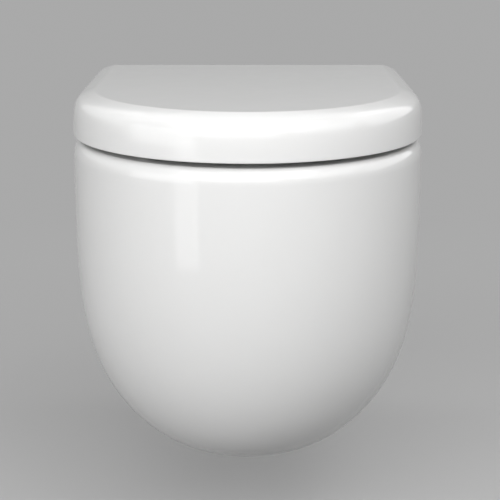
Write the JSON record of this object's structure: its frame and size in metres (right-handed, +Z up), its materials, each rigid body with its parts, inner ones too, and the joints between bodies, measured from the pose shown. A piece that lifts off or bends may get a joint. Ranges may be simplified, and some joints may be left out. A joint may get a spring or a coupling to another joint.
{
  "type": "wall hung toilet",
  "caption": "Wall hung toilet with a smooth skirted ceramic pan, a seat ring and a thick wrap-over lid on soft closing hinges.",
  "frame": {"origin": "midway between the two wall studs, on the wall's plane", "axes": "+Y into the wall, -Y to the front of the pan, +Z up, +X to the right seen from the front"},
  "size_m": [0.36, 0.501, 0.379],
  "materials": {
    "glazed_ceramic": "gloss white glaze",
    "seat_plastic": "gloss white thermoset",
    "white_cap": "gloss white",
    "black_rubber": "matt black",
    "grey_rubber": "matt light grey",
    "brass": "turned",
    "nylon": "matt off-white",
    "damper_plastic": "matt dark grey",
    "steel": "satin stainless steel"
  },
  "bodies": {
    "pan_body": {"pan": "glazed_ceramic", "inlet_seal": "black_rubber", "wall_barrels": "brass", "clamp_inserts": "nylon", "clamp_screws": "steel", "access_caps": "white_cap", "left_hinge_post": "steel", "right_hinge_post": "steel", "hinge_base_plates": "steel", "hinge_gaskets": "black_rubber", "hinge_bolts": "steel", "hinge_sleeves": "black_rubber", "hinge_nuts": "brass", "hinge_grub_screws": "steel", "seat_damper_shaft": "steel", "lid_damper_shaft": "steel", "seat_pin": "steel", "lid_pin": "steel"},
    "seat_body": {"seat": "seat_plastic", "seat_pads": "grey_rubber", "left_seat_knuckle": "steel", "right_seat_knuckle": "steel", "seat_screws": "steel", "seat_damper": "damper_plastic", "seat_bush": "nylon"},
    "lid_body": {"lid": "seat_plastic", "lid_pads": "grey_rubber", "left_lid_knuckle": "steel", "right_lid_knuckle": "steel", "lid_screws": "steel", "lid_damper": "damper_plastic", "lid_bush": "nylon"}
  },
  "joints": [
    {"name": "seat_hinge", "type": "hinge", "parent": "pan_body", "child": "seat_body", "pos_m": [0, -0.058, 0.104], "axis": [-1, 0, 0], "range_deg": [0, 92]},
    {"name": "lid_hinge", "type": "hinge", "parent": "seat_body", "child": "lid_body", "pos_m": [0, -0.058, 0.104], "axis": [-1, 0, 0], "range_deg": [0, 93]}
  ]
}
